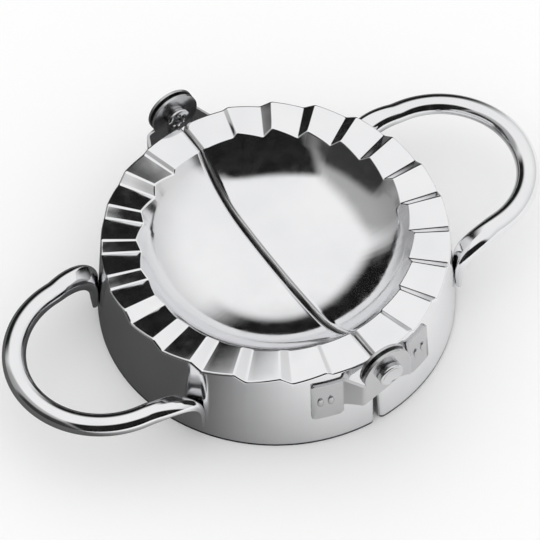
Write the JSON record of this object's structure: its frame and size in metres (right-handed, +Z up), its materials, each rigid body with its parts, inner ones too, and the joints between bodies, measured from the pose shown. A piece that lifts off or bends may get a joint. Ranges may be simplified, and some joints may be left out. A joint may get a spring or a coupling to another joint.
{
  "type": "folding dough press",
  "caption": "Folding steel press for filled pastries: hinged half bowls with saw-tooth crimping rims, round looped handles and riveted sheet hinges, lying open.",
  "frame": {"origin": "middle of the open press at the level of the skirt's lower edge, under the hinge line", "axes": "+X from the left half to the right half, across the hinge line; +Y along the hinge line, away from the viewer's near hinge; +Z up, out of the bowls"},
  "size_m": [0.1656, 0.1114, 0.0351],
  "materials": {
    "pressed_steel": "mirror polished",
    "handle_steel": "polished",
    "bracket_steel": "satin sheet",
    "rivet_steel": "tumbled bright"
  },
  "bodies": {
    "left_half": {"left_shell": "pressed_steel", "left_handle": "handle_steel", "left_front_bracket": "bracket_steel", "left_back_bracket": "bracket_steel", "front_rivet": "rivet_steel", "back_rivet": "rivet_steel"},
    "right_half": {"right_shell": "pressed_steel", "right_handle": "handle_steel", "right_front_bracket": "bracket_steel", "right_back_bracket": "bracket_steel"}
  },
  "joints": [
    {"name": "fold_hinge", "type": "hinge", "parent": "left_half", "child": "right_half", "pos_m": [0, 0, 0.028], "axis": [0, -1, 0], "range_deg": [0, 180]}
  ]
}
